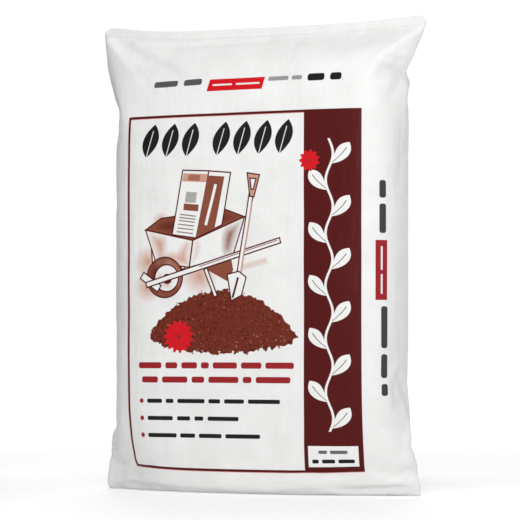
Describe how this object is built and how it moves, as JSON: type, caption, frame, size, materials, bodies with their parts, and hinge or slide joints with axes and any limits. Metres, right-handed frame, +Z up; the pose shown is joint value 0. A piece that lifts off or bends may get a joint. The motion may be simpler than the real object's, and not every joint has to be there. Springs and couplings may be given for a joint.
{
  "type": "topsoil bag",
  "caption": "Tall sealed plastic pillow bag filled with garden soil, standing upright on its flattened bottom, with a printed front.",
  "frame": {"origin": "middle of the flattened base, on the surface that the bag stands on", "axes": "+Z up, -Y towards the printed front, +X to the right as seen from the front"},
  "size_m": [0.488, 0.1242, 0.64],
  "materials": {
    "film": "satin white polyethylene film with a printed front"
  },
  "bodies": {
    "root": {"soil_bag": "film"}
  },
  "joints": []
}
